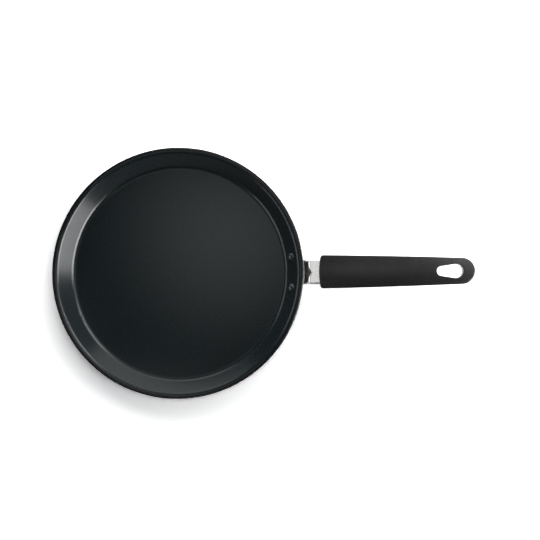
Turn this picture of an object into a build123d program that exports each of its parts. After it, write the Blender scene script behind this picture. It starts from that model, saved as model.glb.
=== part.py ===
from build123d import *
from math import asin, atan2, cos, degrees, hypot, radians, sin, tan
import os

# Crepe pan: a low flared aluminium pan with a riveted steel bracket and a moulded grip.
# Lengths are in millimetres and angles in degrees. The origin is the centre of the
# underside, the handle points along +X and +Z is up.

# Pan body
rim_diameter = 280.0
pan_height = 20.0
floor_thickness = 4.5
wall_thickness = 3.0
lip_width = 5.4  # from the corner of wall and lip out to the rim
wall_spread = 14.1  # from the corner of floor and wall out to the corner of wall and lip
floor_fillet = 6.0
lip_bend = 5.0
under_lip_bend = 2.0
rim_edge = 1.2
base_fillet = 5.0

# Steel plate pressed into the underside
plate_margin = 17.8  # from the plate's edge out to the foot of the wall
plate_thickness = 0.8
plate_clearance = 0.1  # round the plate and in its perforations
perforation_diameter = 8.0
ring_pitch = 29.0
ring_step = 6  # perforations that each ring has more than the one inside it

# Rivets
rivet_inset = 8.6  # from each side of the flange in to its rivet
rivet_rise = 12.6  # up the outside of the wall from its foot
rivet_diameter = 5.5
rivet_clearance = 0.1
head_diameter = 10.6
head_height = 2.8
tail_diameter = 9.0
tail_height = 2.4

# Pressed bracket
sheet_thickness = 2.0
neck_shoulder = 12.2  # from each side of the neck out to the flange's side
flange_below = 8.0  # below and above the rivets, along the wall
flange_above = 6.0
flange_corner = 5.0
blank_corner = 3.0  # where the flange narrows to the neck
shelf_gap = 2.0  # between the lip's underside and the shelf
riser_gap = 1.5  # from the rim out to the foot of the riser
riser_lean = 3.7
neck_rise = 7.0  # of the neck's corner over the rim
neck_width = 27.6
sheet_bend = 1.2  # inside radius of the bends
neck_bend = 3.4  # outside radius where the riser turns into the neck
neck_side_bend = 2.5  # outside radius along the sides of the neck
neck_skirt = 6.0
riser_skirt = 4.5
dimple_width = 12.4  # across the corner of riser and neck
dimple_reach = 3.6  # along the neck from that corner to its tip
dimple_drop = 12.0  # and down the riser
dimple_round = 0.7  # at its bottom
dimple_edge = 1.5  # outside radius along its edges
foot_rise = 1.5  # of the skirts over the shelf
tang_width = 18.0
tang_length = 62.0  # from the front of the grip
tang_corner = 4.0
collar_diameter = 8.0
collar_height = 1.0

# Moulded grip, laid out along the tilted plane of the tang
handle_angle = 8.5
neck_length = 16.6  # from the rim out to the grip
grip_length = 164.0
front_width = 36.6
middle_width = 32.7
end_width = 27.5
front_bulge = 1.6
front_corner = 3.4
end_bulge = 10.0
end_corner = 11.0
front_top = 7.4  # heights over and depths under the middle of the tang
middle_top = 8.8
end_top = 6.0
front_bottom = 8.6
middle_bottom = 6.6
end_bottom = 6.6
crown = 1.8
top_edge = 1.5
bottom_edge = 3.0
socket_clearance = 0.3
socket_depth = 4.0
hole_end_wall = 12.3
hole_length = 27.2
hole_wide_radius = 7.5
hole_narrow_radius = 5.2
hole_edge = 0.8
scoop_reach = 3.4
scoop_depth = 3.8

# Screw and its washer
screw_place = 26.0  # from the front of the grip
screw_diameter = 5.0
screw_clearance = 0.1
screw_head_diameter = 8.5
screw_head_height = 2.2
screw_tip = 1.6  # past the tang
screw_head_edge = 0.6
screw_point = 0.6
cross_width = 1.2
cross_length = 4.6
cross_depth = 1.4
washer_diameter = 8.3
washer_thickness = 0.8
washer_gap = 0.8
counterbore_diameter = 9.6
screw_web = 1.6  # of the grip between washer and tang

overrun = 1.0  # of every cut past the face it leaves by

flange_width = neck_width + 2 * neck_shoulder
rivet_spacing = flange_width - 2 * rivet_inset
rim_radius = rim_diameter / 2
lip_corner = rim_radius - lip_width
floor_corner = lip_corner - wall_spread
wall_angle = atan2(pan_height - floor_thickness, wall_spread)
slope = radians(handle_angle)


def pan_section():
    """Points of the pan's section and the radius at each corner between the ends."""
    under_lip = pan_height - wall_thickness
    points = [
        (0, floor_thickness),
        (floor_corner, floor_thickness),
        (lip_corner, pan_height),
        (rim_radius, pan_height),
        (rim_radius, under_lip),
        (wall_foot + under_lip / tan(wall_angle), under_lip),
        (wall_foot, 0),
        (0, 0),
    ]
    return points, [floor_fillet, lip_bend, rim_edge, rim_edge, under_lip_bend, base_fillet]


def perforations(radius, mode):
    """Rings of round perforations, each ring with the same number more than the last."""
    for ring in range(1, ring_count + 1):
        with PolarLocations(ring * ring_pitch, ring * ring_step):
            Circle(radius, mode=mode)


def runs_of(points):
    """Direction of each straight run between the points of a line."""
    steps = [(end[0] - start[0], end[1] - start[1]) for start, end in zip(points, points[1:])]
    return [(x / hypot(x, z), z / hypot(x, z)) for x, z in steps]


def miter(first, second):
    """From a corner between two runs to the corner of the lines one unit to their right."""
    x, z = first[1] + second[1], -first[0] - second[0]
    facing = 1 + first[0] * second[0] + first[1] * second[1]
    return x / facing, z / facing


def beside(points, distance):
    """A line of points moved to its right by a distance, with its corners kept."""
    runs = runs_of(points)
    shifts = [miter(first, second) for first, second in zip(runs[:1] + runs, runs + runs[-1:])]
    return [(x + distance * dx, z + distance * dz) for (x, z), (dx, dz) in zip(points, shifts)]


def along(start, run, distance):
    """Point at a distance from another along a run."""
    return start[0] + distance * run[0], start[1] + distance * run[1]


def rivet_plane(turn):
    """Plane square to a rivet on the outside of the wall, its Z axis away from the pan."""
    seat = Vector(rivet_radius, 0, rivet_height).rotate(Axis.Z, turn)
    outward = Vector(sin(wall_angle), 0, -cos(wall_angle)).rotate(Axis.Z, turn)
    return Plane(origin=seat, x_dir=Vector(0, 1, 0).rotate(Axis.Z, turn), z_dir=outward)


def hanging_hole(scoop):
    """Teardrop of the hanging hole, its narrow end moved forward by the scoop."""
    with Locations((hole_wide_place, 0)):
        Circle(hole_wide_radius)
    with Locations((hole_narrow_place - scoop, 0)):
        Circle(hole_narrow_radius)
    make_hull()


# Foot of the wall's outer line, and the places of the rivets on that line
wall_foot = (
    floor_corner
    + wall_thickness * sin(wall_angle)
    - (floor_thickness - wall_thickness * cos(wall_angle)) / tan(wall_angle)
)
wall_run = (cos(wall_angle), sin(wall_angle))
rivet_radius, rivet_height = along((wall_foot, 0), wall_run, rivet_rise)
rivet_turn = degrees(asin(rivet_spacing / 2 / rivet_radius))
rivet_planes = {"rivet_upper": rivet_plane(rivet_turn), "rivet_lower": rivet_plane(-rivet_turn)}
flange_plane = rivet_plane(0)

# Plate in the underside, with as many rings of perforations as fit in it
plate_radius = wall_foot - plate_margin
ring_count = int((plate_radius - perforation_diameter) / ring_pitch)

# Corners of the bracket's upper face in section, from the flange to the end of the tang
neck_run = (cos(slope), sin(slope))
grip_front = rim_radius + neck_length
shelf_height = pan_height - wall_thickness - shelf_gap
flange_end = along((wall_foot, 0), wall_run, rivet_rise - flange_below)
shelf_start = (wall_foot + shelf_height / tan(wall_angle), shelf_height)
riser_foot = (rim_radius + riser_gap, shelf_height)
neck_corner = (riser_foot[0] + riser_lean, pan_height + neck_rise)
neck_at_grip = along(neck_corner, neck_run, (grip_front - neck_corner[0]) / cos(slope))
neck_end = along(neck_at_grip, neck_run, socket_depth - socket_clearance)
tang_end = along(neck_at_grip, neck_run, tang_length)
riser_run = runs_of([riser_foot, neck_corner])[0]

# The dimple's groove lies across the bend, on the line between its two tips
upper_tip = along(neck_corner, neck_run, dimple_reach)
lower_tip = along(neck_corner, riser_run, -dimple_drop)
groove_run = runs_of([lower_tip, upper_tip])[0]
dimple_depth = abs(
    (neck_corner[0] - lower_tip[0]) * groove_run[1] - (neck_corner[1] - lower_tip[1]) * groove_run[0]
)
dimple_slant = atan2(dimple_width / 2, dimple_depth)
dimple_plane = Plane(
    origin=(lower_tip[0], 0, lower_tip[1]), x_dir=(0, 1, 0), z_dir=(groove_run[0], 0, groove_run[1])
)

# Planes of the grip, from the middle of the tang: X along the handle, Z up and square to it
tang_middle = along(neck_at_grip, (sin(slope), -cos(slope)), sheet_thickness / 2)
handle_plane = Plane(
    origin=(tang_middle[0], 0, tang_middle[1]),
    x_dir=(neck_run[0], 0, neck_run[1]),
    z_dir=(-neck_run[1], 0, neck_run[0]),
)
side_plane = Plane(handle_plane.origin, x_dir=handle_plane.x_dir, z_dir=-handle_plane.y_dir)
mouth_plane = Plane(handle_plane.origin, x_dir=handle_plane.y_dir, z_dir=handle_plane.x_dir)
collar_depth = sheet_thickness / 2 + collar_height
washer_seat = -collar_depth - socket_clearance - screw_web
screw_end = sheet_thickness / 2 + screw_tip
head_top = washer_seat - washer_thickness
handle_axis = Axis(handle_plane.origin, handle_plane.z_dir)
hole_wide_place = grip_length - hole_end_wall - hole_wide_radius
hole_narrow_place = grip_length - hole_end_wall - hole_length + hole_narrow_radius

os.makedirs("parts", exist_ok=True)

# Pan body, turned about its axis, with the seat of the base plate and the rivet holes
with BuildPart() as pan_body:
    with BuildSketch(Plane.XZ):
        with BuildLine():
            corners, bends = pan_section()
            FilletPolyline(*corners, radius=bends)
            Line(corners[-1], corners[0])
        make_face()
    revolve(axis=Axis.Z)
    with BuildSketch():
        Circle(plate_radius + plate_clearance)
        perforations(perforation_diameter / 2 - plate_clearance, Mode.SUBTRACT)
    extrude(amount=plate_thickness, mode=Mode.SUBTRACT)
    with BuildSketch(*rivet_planes.values()):
        Circle(rivet_diameter / 2 + rivet_clearance)
    extrude(amount=wall_thickness + overrun, both=True, mode=Mode.SUBTRACT)
pan_body.part.label = "pan_body"
export_step(pan_body.part, "parts/pan_body.step")

# Perforated plate, flush with the underside; the pan's metal stands in its perforations
with BuildPart() as base_plate:
    with BuildSketch():
        Circle(plate_radius)
        perforations(perforation_diameter / 2, Mode.SUBTRACT)
    extrude(amount=plate_thickness)
base_plate.part.label = "base_plate"
export_step(base_plate.part, "parts/base_plate.step")


def faces_up(face):
    """Whether a face of the neck belongs to its upper side."""
    normal = face.normal_at()
    return normal.Z > normal.X + abs(normal.Y)


def neck_block(inset):
    """Solid below the upper face of riser and neck, all its faces set in by a distance."""
    spare = overrun if inset else 0
    end = along(neck_end, neck_run, spare)
    upper = beside([riser_foot, neck_corner, end], inset)
    lower = beside([riser_foot, neck_corner, end], riser_skirt + spare)
    drop = neck_skirt - riser_skirt
    half_width = neck_width / 2 - inset
    with BuildPart() as block:
        with BuildSketch(Plane.XZ):
            with BuildLine():
                FilletPolyline(*upper, radius=neck_bend - inset)
                Polyline(
                    upper[2],
                    (lower[2][0], lower[2][1] - drop),
                    (lower[1][0], lower[1][1] - drop),
                    lower[0],
                    upper[0],
                )
            make_face()
        revolve(axis=Axis.Z)
        with BuildSketch():
            with Locations((rim_radius + neck_length, 0)):
                Rectangle(2 * neck_length, 2 * half_width)
        extrude(amount=2 * neck_end[1], mode=Mode.INTERSECT)
        upper_faces = block.faces().filter_by(faces_up)
        sides = upper_faces.edges().filter_by_position(Axis.Y, -half_width, -half_width)
        sides += upper_faces.edges().filter_by_position(Axis.Y, half_width, half_width)
        fillet(sides, radius=neck_side_bend - inset)
        with BuildSketch(dimple_plane):
            with BuildLine():
                bottom = -inset / sin(dimple_slant)
                top = dimple_depth + overrun
                flank = (top - bottom) * tan(dimple_slant)
                FilletPolyline((-flank, top), (0, bottom), (flank, top), radius=dimple_round + inset)
                Line((flank, top), (-flank, top))
            make_face()
        extrude(amount=dimple_reach + dimple_drop, both=True, mode=Mode.SUBTRACT)
        if not inset:
            groove_rims = edges(Select.NEW).filter_by(GeomType.LINE, reverse=True)
            fillet(groove_rims, radius=dimple_edge)
    return block.part


# Neck of the bracket: a channel with its sides bent down, and the dimple pressed into its bend
with BuildPart() as neck:
    add(neck_block(0))
    add(neck_block(sheet_thickness), mode=Mode.SUBTRACT)
    split(bisect_by=Plane.XY.offset(shelf_height + foot_rise), keep=Keep.TOP)

# Tang of the bracket, with the threaded collar for the screw drawn down from it
with BuildPart() as tang:
    with BuildSketch(Plane.XZ):
        with BuildLine():
            underside = beside([neck_at_grip, tang_end], sheet_thickness)
            Polyline(neck_at_grip, tang_end, underside[1], underside[0], close=True)
        make_face()
    revolve(axis=Axis.Z)
    with BuildSketch(handle_plane):
        with Locations((tang_length / 2, 0)):
            Rectangle(tang_length, tang_width)
        fillet(vertices().group_by(Axis.X)[-1], radius=tang_corner)
    extrude(amount=tang_width, both=True, mode=Mode.INTERSECT)
    with BuildSketch(handle_plane):
        with Locations((screw_place, 0)):
            Circle(collar_diameter / 2)
    extrude(amount=-collar_depth)
    with BuildSketch(handle_plane):
        with Locations((screw_place, 0)):
            Circle(screw_diameter / 2 + screw_clearance)
    extrude(amount=collar_depth + overrun, both=True, mode=Mode.SUBTRACT)

# Bracket: the flange and shelf are one turned strip cut to the blank's outline
with BuildPart() as handle_bracket:
    with BuildSketch(Plane.XZ):
        with BuildLine():
            upper = [flange_end, shelf_start, riser_foot, neck_corner]
            lower = beside(upper, sheet_thickness)
            outside_bend = sheet_bend + sheet_thickness
            FilletPolyline(*upper, radius=[outside_bend, sheet_bend])
            FilletPolyline(*lower, radius=[sheet_bend, outside_bend])
            Line(upper[0], lower[0])
            Line(upper[-1], lower[-1])
        make_face()
    revolve(axis=Axis.Z)
    with BuildSketch(flange_plane):
        with Locations((0, (flange_above - flange_below) / 2)):
            Rectangle(flange_width, flange_above + flange_below)
        fillet(vertices(), radius=flange_corner)
        with Locations((0, flange_width / 2)):
            Rectangle(neck_width, flange_width)
        fillet(vertices().group_by(Axis.Y)[-2].sort_by(Axis.X)[1:-1], radius=blank_corner)
    extrude(amount=flange_width / 2, both=True, mode=Mode.INTERSECT)
    split(bisect_by=Plane.XY.offset(shelf_height + foot_rise), keep=Keep.BOTTOM)
    add(neck.part)
    add(tang.part)
    with BuildSketch(*rivet_planes.values()):
        Circle(rivet_diameter / 2 + rivet_clearance)
    extrude(amount=sheet_thickness + overrun, both=True, mode=Mode.SUBTRACT)
handle_bracket.part.label = "handle_bracket"
export_step(handle_bracket.part, "parts/handle_bracket.step")

# Rivets, set through wall and flange; head and tail are cut to the faces that they seat on
for rivet_name, plane in rivet_planes.items():
    with BuildPart() as rivet:
        with BuildSketch(Plane(plane.origin, x_dir=plane.x_dir, z_dir=-plane.y_dir)):
            with BuildLine():
                head_seat = -wall_thickness
                tail_seat = sheet_thickness - rivet_clearance
                TangentArc((0, head_seat - head_height), (head_diameter / 2, head_seat), tangent=(1, 0))
                Polyline(
                    (head_diameter / 2, head_seat),
                    (rivet_diameter / 2, head_seat),
                    (rivet_diameter / 2, tail_seat),
                    (tail_diameter / 2, tail_seat),
                )
                TangentArc(
                    (0, tail_seat + tail_height), (tail_diameter / 2, tail_seat), tangent=(1, 0)
                )
                Line((0, tail_seat + tail_height), (0, head_seat - head_height))
            make_face()
        revolve(axis=Axis(plane.origin, plane.z_dir))
        add(pan_body.part, mode=Mode.SUBTRACT)
        add(handle_bracket.part, mode=Mode.SUBTRACT)
    rivet.part.label = rivet_name
    export_step(rivet.part, f"parts/{rivet_name}.step")


def broad_faces():
    """Underside and top of the grip, in that order."""
    return faces().sort_by(SortBy.AREA)[-2:].sort_by(handle_axis)


# Arc of the grip's top, seen from the side, and the ring whose crowned skin follows it
top_arc = ThreePointArc((0, front_top), (grip_length / 2, middle_top), (grip_length, end_top))
ring_plane = Plane(
    side_plane.from_local_coords(top_arc.arc_center),
    x_dir=handle_plane.y_dir,
    z_dir=handle_plane.x_dir,
)

with BuildPart() as handle_grip:
    with BuildSketch(handle_plane):
        with BuildLine():
            end_place = grip_length - end_bulge
            ThreePointArc((front_bulge, -front_width / 2), (0, 0), (front_bulge, front_width / 2))
            for side in (1, -1):
                ThreePointArc(
                    (front_bulge, side * front_width / 2),
                    (grip_length / 2, side * middle_width / 2),
                    (end_place, side * end_width / 2),
                )
            ThreePointArc((end_place, end_width / 2), (grip_length, 0), (end_place, -end_width / 2))
        make_face()
        fillet(vertices().group_by(Axis.X)[0], radius=front_corner)
        fillet(vertices().group_by(Axis.X)[-1], radius=end_corner)
    extrude(amount=front_width, both=True)
    # the underside, hollowed a little along the handle
    with BuildSketch(side_plane):
        with BuildLine():
            ThreePointArc(
                (-overrun, -front_bottom),
                (grip_length / 2, -middle_bottom),
                (grip_length + overrun, -end_bottom),
            )
            Polyline(
                (-overrun, -front_bottom),
                (-overrun, front_width / 2),
                (grip_length + overrun, front_width / 2),
                (grip_length + overrun, -end_bottom),
            )
        make_face()
    extrude(amount=front_width, both=True, mode=Mode.INTERSECT)
    # the top, arched along and crowned across; the ring's section is drawn on its far side
    with BuildSketch(ring_plane):
        with BuildLine():
            far_side = -top_arc.radius
            shoulder = far_side + 4 * crown
            Bezier((-front_width, shoulder), (0, far_side - 4 * crown), (front_width, shoulder))
            Polyline(
                (-front_width, shoulder),
                (-front_width, far_side + front_width),
                (front_width, far_side + front_width),
                (front_width, shoulder),
            )
        make_face()
    revolve(axis=Axis(ring_plane.origin, ring_plane.x_dir), mode=Mode.INTERSECT)
    # hanging hole, its narrow end scooped forward at the top
    with BuildSketch(handle_plane):
        hanging_hole(0)
    extrude(amount=front_width, both=True, mode=Mode.SUBTRACT)
    with BuildSketch(handle_plane.offset(end_top - scoop_depth)):
        hanging_hole(0)
    with BuildSketch(handle_plane.offset(end_top + scoop_depth)):
        hanging_hole(2 * scoop_reach)
    loft(ruled=True, mode=Mode.SUBTRACT)
    hole_rims = [edge for face in broad_faces() for edge in face.inner_wires()[0].edges()]
    fillet(hole_rims, radius=hole_edge)
    fillet(broad_faces()[-1].outer_wire().edges(), radius=top_edge)
    fillet(broad_faces()[0].outer_wire().edges(), radius=bottom_edge)
    # mouth for the neck, slot for the tang and its collar
    with BuildSketch(mouth_plane.offset(-overrun)):
        with Locations((0, (sheet_thickness - neck_skirt) / 2)):
            Rectangle(neck_width + 2 * socket_clearance, neck_skirt + 2 * socket_clearance)
        fillet(vertices().group_by(Axis.Y)[-1], radius=neck_side_bend)
    extrude(amount=socket_depth + overrun, mode=Mode.SUBTRACT)
    with BuildSketch(mouth_plane):
        Rectangle(tang_width + 2 * socket_clearance, sheet_thickness + 2 * socket_clearance)
    extrude(amount=tang_length + socket_clearance, mode=Mode.SUBTRACT)
    with BuildSketch(handle_plane):
        with Locations((screw_place / 2, 0)):
            Rectangle(screw_place, collar_diameter + 2 * socket_clearance)
        with Locations((screw_place, 0)):
            Circle(collar_diameter / 2 + socket_clearance)
    extrude(amount=-collar_depth - socket_clearance, mode=Mode.SUBTRACT)
    # way for the screw, from the counterbore in the underside
    with BuildSketch(handle_plane.offset(washer_seat)):
        with Locations((screw_place, 0)):
            Circle(counterbore_diameter / 2)
    extrude(amount=-front_bottom, mode=Mode.SUBTRACT)
    with BuildSketch(handle_plane.offset(washer_seat)):
        with Locations((screw_place, 0)):
            Circle(screw_diameter / 2 + screw_clearance)
    extrude(amount=screw_end - washer_seat + socket_clearance, mode=Mode.SUBTRACT)
handle_grip.part.label = "handle_grip"
export_step(handle_grip.part, "parts/handle_grip.step")

# Screw, up through washer, grip and collar
with BuildPart() as handle_screw:
    with BuildSketch(handle_plane.offset(head_top)):
        with Locations((screw_place, 0)):
            Circle(screw_head_diameter / 2)
    extrude(amount=-screw_head_height)
    chamfer(faces().sort_by(handle_axis)[0].edges(), length=screw_head_edge)
    with BuildSketch(handle_plane.offset(head_top - screw_head_height)):
        with Locations((screw_place, 0)):
            Rectangle(cross_length, cross_width)
            Rectangle(cross_width, cross_length)
    extrude(amount=cross_depth, mode=Mode.SUBTRACT)
    with BuildSketch(handle_plane.offset(head_top)):
        with Locations((screw_place, 0)):
            Circle(screw_diameter / 2)
    extrude(amount=screw_end - head_top)
    chamfer(faces().sort_by(handle_axis)[-1].edges(), length=screw_point)
handle_screw.part.label = "handle_screw"
export_step(handle_screw.part, "parts/handle_screw.step")

# Split spring washer between the screw's head and the grip
with BuildPart() as spring_washer:
    with BuildSketch(handle_plane.offset(washer_seat)):
        with Locations((screw_place, 0)):
            Circle(washer_diameter / 2)
            Circle(screw_diameter / 2 + 2 * screw_clearance, mode=Mode.SUBTRACT)
            with Locations((0, washer_diameter / 2)):
                Rectangle(washer_gap, washer_diameter, mode=Mode.SUBTRACT)
    extrude(amount=-washer_thickness)
spring_washer.part.label = "spring_washer"
export_step(spring_washer.part, "parts/spring_washer.step")
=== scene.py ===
import math

import bpy
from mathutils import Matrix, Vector

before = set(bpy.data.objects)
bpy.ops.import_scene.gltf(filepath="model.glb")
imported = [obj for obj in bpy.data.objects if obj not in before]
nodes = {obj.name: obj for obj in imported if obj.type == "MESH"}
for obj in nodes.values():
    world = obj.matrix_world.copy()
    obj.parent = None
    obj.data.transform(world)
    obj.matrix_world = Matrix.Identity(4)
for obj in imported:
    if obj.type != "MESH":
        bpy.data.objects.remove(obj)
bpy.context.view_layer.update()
mm = 0.001
print("crepe pan: frame loaded,", len(nodes), "nodes")

# most of a noise's values lie between these two
noiseSpan = (0.3, 0.7)


def newMaterial(name):
    # a fresh node tree with only its output and one surface shader
    material = bpy.data.materials.new(name)
    material.use_nodes = True
    tree = material.node_tree
    tree.nodes.clear()
    output = tree.nodes.new("ShaderNodeOutputMaterial")
    shader = tree.nodes.new("ShaderNodeBsdfPrincipled")
    tree.links.new(shader.outputs["BSDF"], output.inputs["Surface"])
    return material, tree, shader


def place(tree, kind, **settings):
    # one node with its own settings
    node = tree.nodes.new(kind)
    for name, value in settings.items():
        setattr(node, name, value)
    return node


def wire(tree, source, target):
    # a plain value goes on the socket itself, anything else is linked
    if hasattr(source, "is_output"):
        tree.links.new(source, target)
    else:
        target.default_value = source


def calculate(tree, operation, first, second):
    node = place(tree, "ShaderNodeMath", operation=operation)
    wire(tree, first, node.inputs[0])
    wire(tree, second, node.inputs[1])
    return node.outputs[0]


def ramp(tree, value, low, high, start=0.0, end=1.0):
    # smooth step from start to end while value goes from low to high
    node = place(tree, "ShaderNodeMapRange", interpolation_type="SMOOTHSTEP")
    wire(tree, value, node.inputs["Value"])
    node.inputs["From Min"].default_value = low
    node.inputs["From Max"].default_value = high
    node.inputs["To Min"].default_value = start
    node.inputs["To Max"].default_value = end
    return node.outputs["Result"]


def blend(tree, share, first, second, kind="RGBA"):
    # first at share 0, second at share 1; colours, or plain values when the kind is FLOAT
    node = place(tree, "ShaderNodeMix", data_type=kind)
    wire(tree, share, node.inputs["Factor"])
    wire(tree, first, node.inputs["A"])
    wire(tree, second, node.inputs["B"])
    return node.outputs["Result"]


def vectorLength(tree, vector):
    node = place(tree, "ShaderNodeVectorMath", operation="LENGTH")
    wire(tree, vector, node.inputs[0])
    return node.outputs["Value"]


def objectPosition(tree):
    return place(tree, "ShaderNodeTexCoord").outputs["Object"]


def heightAndRadius(tree, position):
    # height above the table and distance from the pan's axis, in metres
    parts = place(tree, "ShaderNodeSeparateXYZ")
    wire(tree, position, parts.inputs[0])
    flat = place(tree, "ShaderNodeCombineXYZ")
    wire(tree, parts.outputs["X"], flat.inputs["X"])
    wire(tree, parts.outputs["Y"], flat.inputs["Y"])
    return parts.outputs["Z"], vectorLength(tree, flat.outputs[0])


def noise(tree, vector, grain, detail, stretch=None):
    # noise whose lumps are about one grain across, in metres
    node = place(tree, "ShaderNodeTexNoise")
    node.inputs["Scale"].default_value = 1.0 / grain
    node.inputs["Detail"].default_value = detail
    if stretch:
        mapping = place(tree, "ShaderNodeMapping")
        mapping.inputs["Scale"].default_value = stretch
        wire(tree, vector, mapping.inputs["Vector"])
        vector = mapping.outputs["Vector"]
    wire(tree, vector, node.inputs["Vector"])
    return node.outputs["Fac"]


def bump(tree, shader, height, depth, strength):
    node = place(tree, "ShaderNodeBump")
    node.inputs["Strength"].default_value = strength
    node.inputs["Distance"].default_value = depth
    wire(tree, height, node.inputs["Height"])
    wire(tree, node.outputs["Normal"], shader.inputs["Normal"])


def bareMetal(tree, shader, colour, shade, roughness):
    # metal all over, its colour lightened or darkened by the shade
    tint = place(tree, "ShaderNodeHueSaturation")
    tint.inputs["Color"].default_value = colour
    wire(tree, shade, tint.inputs["Value"])
    wire(tree, tint.outputs[0], shader.inputs["Base Color"])
    shader.inputs["Metallic"].default_value = 1.0
    wire(tree, roughness, shader.inputs["Roughness"])


def dress(name, material):
    # every slot of a CAD node gets the same finish
    part = nodes[name]
    part.data.materials.clear()
    part.data.materials.append(material)


# Camera: nearly straight down, a little south of the pan's middle and east of its axis
photoCamera = {
    "place": (102.4 * mm, -17.6 * mm, 698.1 * mm),
    "tilt": 1.7,  # degrees
    "roll": -0.16,  # degrees
    "lens": 40.71,  # millimetres
    "sensor": 36.0,  # millimetres
}

cameraData = bpy.data.cameras.new("photoCamera")
cameraData.lens = photoCamera["lens"]
cameraData.sensor_width = photoCamera["sensor"]
camera = bpy.data.objects.new("photoCamera", cameraData)
camera.location = photoCamera["place"]
camera.rotation_euler = (
    math.radians(photoCamera["tilt"]), 0, math.radians(photoCamera["roll"]))
bpy.context.scene.collection.objects.link(camera)
bpy.context.scene.camera = camera
print("crepe pan: camera placed")

# Studio: pale floor under a sky that is light at the horizon and black overhead, five cards
# above the table, a lamp and its glow at the upper right, and low cards on three sides
studio = {
    "horizonColour": (0.645, 0.66, 0.675, 1.0),
    "zenithColour": (0.0, 0.0, 0.0, 1.0),
    "skyFade": (0.05, 0.75),
    "floorColour": (0.80, 0.80, 0.80, 1.0),
    "floorSeen": (2.0, 2.0, 2.0, 1.0),
    "floorRoughness": 0.9,
    "floorSize": 6.0,
    "cardMiddle": (0.5, 0.5, 0.0),
    "cardReach": 0.5,
}

# a mirrored card shows on the glossy pan, and leaves the floor as it is
softLamps = {
    "middleCard": {
        "place": (-0.05, 0.15, 1.3), "size": (0.9, 0.9), "power": 5.1,
        "aim": (-0.05, 0.15, 0.0), "fading": True, "mirrored": False,
    },
    "upperCard": {
        "place": (-0.05, 0.5, 1.3), "size": (0.7, 0.6), "power": 15.0,
        "aim": (-0.05, 0.5, 0.0), "fading": True, "mirrored": True,
    },
    "lowerCard": {
        "place": (-0.35, -0.3, 1.3), "size": (1.1, 0.9), "power": 5.0,
        "aim": (-0.35, -0.3, 0.0), "fading": True, "mirrored": True,
    },
    "eastCard": {
        "place": (0.75, 0.12, 1.3), "size": (0.9, 0.9), "power": 12.75,
        "aim": (0.75, 0.12, 0.0), "fading": True, "mirrored": False,
    },
    "eastGlow": {
        "place": (0.9, 0.0, 1.3), "size": (0.8, 0.8), "power": 22.0,
        "aim": (0.9, 0.0, 0.0), "fading": True, "mirrored": True,
    },
    "keyGlow": {
        "place": (0.75, 0.65, 1.3), "size": (0.8, 0.8), "power": 15.0,
        "aim": (0.0, 0.0, 0.0), "fading": False, "mirrored": True,
    },
    "keyLamp": {
        "place": (0.98, 0.8, 0.95), "size": (0.7, 0.7), "power": 3.9,
        "aim": (0.0, 0.0, 0.0), "fading": False, "mirrored": False,
    },
    "rightPanel": {
        "place": (0.926, -0.337, 0.19), "size": (0.796, 0.34), "power": 6.45,
        "aim": (0.0, 0.0, 0.19), "fading": False, "mirrored": False,
    },
    "rightCard": {
        "place": (0.87, -0.317, 0.64), "size": (0.776, 0.6), "power": 39.0,
        "aim": (0.0, 0.0, 0.1), "fading": False, "mirrored": True,
    },
    "leftCard": {
        "place": (-1.0, -0.1, 0.65), "size": (1.2, 0.6), "power": 7.5,
        "aim": (0.0, 0.0, 0.1), "fading": False, "mirrored": True,
    },
    "backPanel": {
        "place": (-0.037, 1.049, 0.2), "size": (1.92, 0.36), "power": 5.4,
        "aim": (0.0, 0.0, 0.2), "fading": False, "mirrored": False,
    },
    "backCard": {
        "place": (0.0, 1.0, 0.65), "size": (1.5, 0.5), "power": 8.1,
        "aim": (0.0, 0.0, 0.1), "fading": False, "mirrored": False,
    },
}


def buildSky():
    world = bpy.data.worlds.new("studioWorld")
    world.use_nodes = True
    tree = world.node_tree
    direction = place(tree, "ShaderNodeTexCoord")
    parts = place(tree, "ShaderNodeSeparateXYZ")
    wire(tree, direction.outputs["Generated"], parts.inputs[0])
    height = ramp(tree, parts.outputs["Z"], *studio["skyFade"])
    sky = blend(tree, height, studio["horizonColour"], studio["zenithColour"])
    wire(tree, sky, tree.nodes["Background"].inputs["Color"])
    bpy.context.scene.world = world


def buildFloor():
    bpy.ops.object.select_all(action="DESELECT")
    bpy.ops.mesh.primitive_plane_add(size=studio["floorSize"], location=(0, 0, 0))
    floor = bpy.context.active_object
    floor.name = "studioFloor"
    material, tree, shader = newMaterial("paleFloor")
    shader.inputs["Roughness"].default_value = studio["floorRoughness"]
    shader.inputs["Specular IOR Level"].default_value = 0.0
    # the camera and the glossy finishes see a whiter floor than the light does
    rays = place(tree, "ShaderNodeLightPath").outputs
    seen = calculate(tree, "MAXIMUM", rays["Is Camera Ray"], rays["Is Glossy Ray"])
    seen = calculate(tree, "MAXIMUM", seen, rays["Is Transmission Ray"])
    colour = blend(tree, seen, studio["floorColour"], studio["floorSeen"])
    wire(tree, colour, shader.inputs["Base Color"])
    floor.data.materials.append(material)


def fadeCard(lampData):
    # brightest in the middle of the card, nothing at its edge
    lampData.use_nodes = True
    tree = lampData.node_tree
    surface = place(tree, "ShaderNodeNewGeometry")
    offset = place(tree, "ShaderNodeVectorMath", operation="SUBTRACT")
    wire(tree, surface.outputs["Parametric"], offset.inputs[0])
    offset.inputs[1].default_value = studio["cardMiddle"]
    distance = vectorLength(tree, offset.outputs[0])
    strength = ramp(tree, distance, 0.0, studio["cardReach"], 1.0, 0.0)
    wire(tree, strength, tree.nodes["Emission"].inputs["Strength"])


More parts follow.
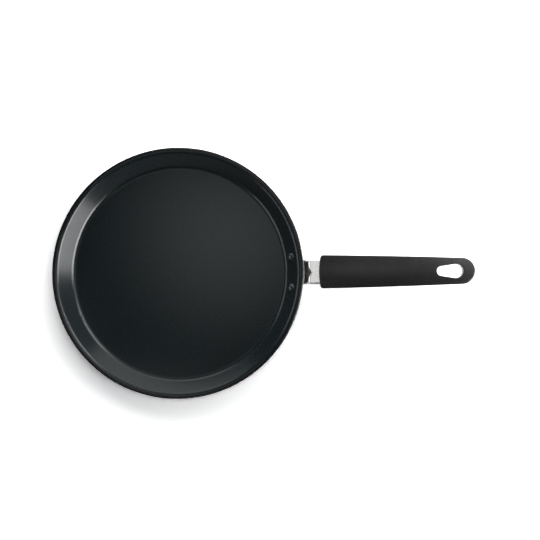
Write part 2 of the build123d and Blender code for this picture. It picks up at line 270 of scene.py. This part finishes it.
def hangLamps():
    for name, lamp in softLamps.items():
        lampData = bpy.data.lights.new(name, "AREA")
        lampData.shape = "RECTANGLE"
        lampData.size, lampData.size_y = lamp["size"]
        lampData.energy = lamp["power"]
        if lamp["fading"]:
            fadeCard(lampData)
        holder = bpy.data.objects.new(name, lampData)
        holder.visible_diffuse = not lamp["mirrored"]
        holder.location = lamp["place"]
        aim = Vector(lamp["aim"]) - Vector(lamp["place"])
        holder.rotation_euler = aim.to_track_quat("-Z", "Y").to_euler()
        bpy.context.scene.collection.objects.link(holder)


buildSky()
buildFloor()
hangLamps()
bpy.context.scene.view_settings.view_transform = "Standard"
print("crepe pan: studio lit")

# Pan body: speckled coating inside, black enamel lip, outside and underside, and bare metal
# in the plate's holes
panFinish = {
    "coating": (0.0047, 0.0085, 0.0099, 1.0),
    "coatingLight": (0.0070, 0.0121, 0.0139, 1.0),
    "fleck": (0.067, 0.107, 0.120, 1.0),
    "enamel": (0.0027, 0.0027, 0.0030, 1.0),
    "bareMetal": (0.62, 0.62, 0.61, 1.0),
    "top": max(corner[2] for corner in nodes["pan_body"].bound_box),
    "floorCorner": 120.5 * mm,
    "floorHeight": 4.5 * mm,
    "wallSpread": 14.1 * mm,
    "halfWall": 1.6 * mm,
    "sideBlur": 0.2 * mm,
    "rimFade": (0.4 * mm, 0.1 * mm),
    "lipInside": 136.4 * mm,
    "lipBlur": 0.8 * mm,
    "undersideTop": 0.9 * mm,
    "plateMargin": 0.1 * mm,
    "cloudGrain": 2.2 * mm,
    "cloudDetail": 3.0,
    "cloudLimits": (0.35, 0.7),
    "fleckGrain": 0.55 * mm,
    "fleckDetail": 1.0,
    "fleckLimits": (0.66, 0.76),
    "fleckShare": 0.2,
    "coatingRoughness": 0.20,
    "enamelRoughness": 0.22,
    "metalRoughness": 0.38,
    "refraction": 1.38,
    "specular": 0.33,
    "bumpDepth": 0.02 * mm,
    "bumpStrength": 0.35,
}


def wallLine(tree, height, shift):
    # radius of the wall's inner line at this height, moved outward by the shift
    slope = panFinish["wallSpread"] / (panFinish["top"] - panFinish["floorHeight"])
    rise = calculate(tree, "SUBTRACT", height, panFinish["floorHeight"])
    run = calculate(tree, "MULTIPLY", rise, slope)
    return calculate(tree, "ADD", run, panFinish["floorCorner"] + shift)


def coatedPan():
    material, tree, shader = newMaterial("speckledCoating")
    position = objectPosition(tree)
    height, radius = heightAndRadius(tree, position)
    # enamel past the middle of the wall, except at the very top of the rim
    middle = wallLine(tree, height, panFinish["halfWall"])
    outward = calculate(tree, "SUBTRACT", radius, middle)
    outside = ramp(tree, outward, -panFinish["sideBlur"], panFinish["sideBlur"])
    fadeStart, fadeEnd = panFinish["rimFade"]
    high = ramp(tree, height, panFinish["top"] - fadeStart, panFinish["top"] - fadeEnd)
    outside = calculate(tree, "MULTIPLY", outside, calculate(tree, "SUBTRACT", 1.0, high))
    # enamel on the lip and on the flat underside round the plate
    lipEdge = panFinish["lipInside"] + panFinish["lipBlur"]
    lip = ramp(tree, radius, panFinish["lipInside"], lipEdge)
    dark = calculate(tree, "MAXIMUM", outside, lip)
    low = calculate(tree, "LESS_THAN", height, panFinish["undersideTop"])
    dark = calculate(tree, "MAXIMUM", dark, low)
    # bare metal where it fills the plate's holes
    plateRadius = nodes["base_plate"].dimensions.x / 2 + panFinish["plateMargin"]
    within = calculate(tree, "LESS_THAN", radius, plateRadius)
    bare = calculate(tree, "MULTIPLY", low, within)
    # colour: cloudy blue-black with fine pale flecks
    cloud = noise(tree, position, panFinish["cloudGrain"], panFinish["cloudDetail"])
    fine = noise(tree, position, panFinish["fleckGrain"], panFinish["fleckDetail"])
    cloudShare = ramp(tree, cloud, *panFinish["cloudLimits"])
    fleck = ramp(tree, fine, *panFinish["fleckLimits"])
    fleckShare = calculate(tree, "MULTIPLY", fleck, panFinish["fleckShare"])
    colour = blend(tree, cloudShare, panFinish["coating"], panFinish["coatingLight"])
    colour = blend(tree, fleckShare, colour, panFinish["fleck"])
    colour = blend(tree, dark, colour, panFinish["enamel"])
    colour = blend(tree, bare, colour, panFinish["bareMetal"])
    wire(tree, colour, shader.inputs["Base Color"])
    wire(tree, bare, shader.inputs["Metallic"])
    coatingRough, enamelRough = panFinish["coatingRoughness"], panFinish["enamelRoughness"]
    rough = blend(tree, dark, coatingRough, enamelRough, "FLOAT")
    rough = blend(tree, bare, rough, panFinish["metalRoughness"], "FLOAT")
    wire(tree, rough, shader.inputs["Roughness"])
    shader.inputs["IOR"].default_value = panFinish["refraction"]
    shader.inputs["Specular IOR Level"].default_value = panFinish["specular"]
    bump(tree, shader, fine, panFinish["bumpDepth"], panFinish["bumpStrength"])
    return material


dress("pan_body", coatedPan())
print("crepe pan: pan coated")

# Rivets: coated heads inside the pan, bare tails outside it
rivetFinish = {
    "coating": (0.0133, 0.0200, 0.0240, 1.0),
    "bareMetal": (0.60, 0.60, 0.59, 1.0),
    "wallShift": 2.2 * mm,
    "grain": 0.5 * mm,
    "detail": 1.0,
    "limits": (0.55, 0.75),
    "roughness": 0.19,
    "specular": 0.33,
    "bumpDepth": 0.01 * mm,
    "bumpStrength": 0.2,
}


def coatedRivet():
    material, tree, shader = newMaterial("rivetCoating")
    position = objectPosition(tree)
    height, radius = heightAndRadius(tree, position)
    inner = wallLine(tree, height, rivetFinish["wallShift"])
    outside = calculate(tree, "GREATER_THAN", radius, inner)
    fine = noise(tree, position, rivetFinish["grain"], rivetFinish["detail"])
    share = ramp(tree, fine, *rivetFinish["limits"])
    colour = blend(tree, share, rivetFinish["coating"], panFinish["coatingLight"])
    colour = blend(tree, outside, colour, rivetFinish["bareMetal"])
    wire(tree, colour, shader.inputs["Base Color"])
    wire(tree, outside, shader.inputs["Metallic"])
    shader.inputs["Roughness"].default_value = rivetFinish["roughness"]
    shader.inputs["Specular IOR Level"].default_value = rivetFinish["specular"]
    bump(tree, shader, fine, rivetFinish["bumpDepth"], rivetFinish["bumpStrength"])
    return material


rivetMaterial = coatedRivet()
dress("rivet_upper", rivetMaterial)
dress("rivet_lower", rivetMaterial)
print("crepe pan: rivets coated")

# Base plate: steel turned on a lathe, with fine rings
plateFinish = {
    "steel": (0.58, 0.57, 0.55, 1.0),
    "ringPitch": 0.35 * mm,
    "ringDetail": 1.0,
    "ringShade": 0.10,
    "cloudGrain": 30 * mm,
    "cloudDetail": 2.0,
    "cloudShade": 0.06,
    "baseShade": 0.92,
    "roughness": (0.28, 0.40),
    "bumpDepth": 0.03 * mm,
    "bumpStrength": 0.5,
}


def turnedPlate():
    material, tree, shader = newMaterial("turnedSteel")
    position = objectPosition(tree)
    radius = heightAndRadius(tree, position)[1]
    # grooves vary only with the distance from the axis
    rings = place(tree, "ShaderNodeCombineXYZ")
    wire(tree, radius, rings.inputs["X"])
    grooves = noise(tree, rings.outputs[0], plateFinish["ringPitch"], plateFinish["ringDetail"])
    cloud = noise(tree, position, plateFinish["cloudGrain"], plateFinish["cloudDetail"])
    grooveShade = calculate(tree, "MULTIPLY", grooves, plateFinish["ringShade"])
    cloudShade = calculate(tree, "MULTIPLY", cloud, plateFinish["cloudShade"])
    shade = calculate(tree, "ADD", grooveShade, cloudShade)
    shade = calculate(tree, "ADD", shade, plateFinish["baseShade"])
    roughness = ramp(tree, grooves, *noiseSpan, *plateFinish["roughness"])
    bareMetal(tree, shader, plateFinish["steel"], shade, roughness)
    bump(tree, shader, grooves, plateFinish["bumpDepth"], plateFinish["bumpStrength"])
    return material


dress("base_plate", turnedPlate())
print("crepe pan: base plate turned")

# Bracket: satin steel, brushed along the handle
bracketFinish = {
    "steel": (0.575, 0.568, 0.561, 1.0),
    "brushWidth": 0.12 * mm,
    "brushDetail": 1.0,
    "brushStretch": (0.03, 1.0, 0.03),
    "shade": (0.98, 1.02),
    "roughness": (0.25, 0.30),
    "bumpDepth": 0.005 * mm,
    "bumpStrength": 0.2,
}


def satinBracket():
    material, tree, shader = newMaterial("satinSteel")
    brush = noise(
        tree, objectPosition(tree), bracketFinish["brushWidth"],
        bracketFinish["brushDetail"], bracketFinish["brushStretch"])
    shade = ramp(tree, brush, *noiseSpan, *bracketFinish["shade"])
    roughness = ramp(tree, brush, *noiseSpan, *bracketFinish["roughness"])
    bareMetal(tree, shader, bracketFinish["steel"], shade, roughness)
    bump(tree, shader, brush, bracketFinish["bumpDepth"], bracketFinish["bumpStrength"])
    return material


dress("handle_bracket", satinBracket())
print("crepe pan: bracket brushed")

# Grip: matt black phenolic with the fine grain of its mould
gripFinish = {
    "black": (0.004, 0.004, 0.004, 1.0),
    "worn": (0.0054, 0.0054, 0.0052, 1.0),
    "grain": 0.35 * mm,
    "grainDetail": 2.0,
    "cloudGrain": 9 * mm,
    "cloudDetail": 3.0,
    "cloudLimits": (0.35, 0.7),
    "roughness": (0.24, 0.31),
    "specular": 0.26,
    "bumpDepth": 0.03 * mm,
    "bumpStrength": 0.5,
}


def mattGrip():
    material, tree, shader = newMaterial("mattPhenolic")
    position = objectPosition(tree)
    grain = noise(tree, position, gripFinish["grain"], gripFinish["grainDetail"])
    cloud = noise(tree, position, gripFinish["cloudGrain"], gripFinish["cloudDetail"])
    share = ramp(tree, cloud, *gripFinish["cloudLimits"])
    colour = blend(tree, share, gripFinish["black"], gripFinish["worn"])
    wire(tree, colour, shader.inputs["Base Color"])
    roughness = ramp(tree, grain, *noiseSpan, *gripFinish["roughness"])
    wire(tree, roughness, shader.inputs["Roughness"])
    shader.inputs["Specular IOR Level"].default_value = gripFinish["specular"]
    bump(tree, shader, grain, gripFinish["bumpDepth"], gripFinish["bumpStrength"])
    return material


dress("handle_grip", mattGrip())
print("crepe pan: grip moulded")

# Screw and washer: zinc-plated steel and blued spring steel
screwFinish = {
    "zinc": (0.63, 0.63, 0.62, 1.0),
    "zincRoughness": 0.30,
    "spring": (0.20, 0.20, 0.21, 1.0),
    "springRoughness": 0.38,
    "grain": 0.8 * mm,
    "detail": 2.0,
    "shade": (0.88, 1.06),
    "roughnessSpread": 0.05,
}


def platedSteel(name, colour, roughness):
    material, tree, shader = newMaterial(name)
    mottle = noise(tree, objectPosition(tree), screwFinish["grain"], screwFinish["detail"])
    shade = ramp(tree, mottle, *noiseSpan, *screwFinish["shade"])
    smooth = roughness - screwFinish["roughnessSpread"]
    rough = roughness + screwFinish["roughnessSpread"]
    bareMetal(tree, shader, colour, shade, ramp(tree, mottle, *noiseSpan, smooth, rough))
    return material


screwMaterial = platedSteel("zincPlating", screwFinish["zinc"], screwFinish["zincRoughness"])
washerMaterial = platedSteel("springSteel", screwFinish["spring"], screwFinish["springRoughness"])
dress("handle_screw", screwMaterial)
dress("spring_washer", washerMaterial)
print("crepe pan: screw and washer plated")
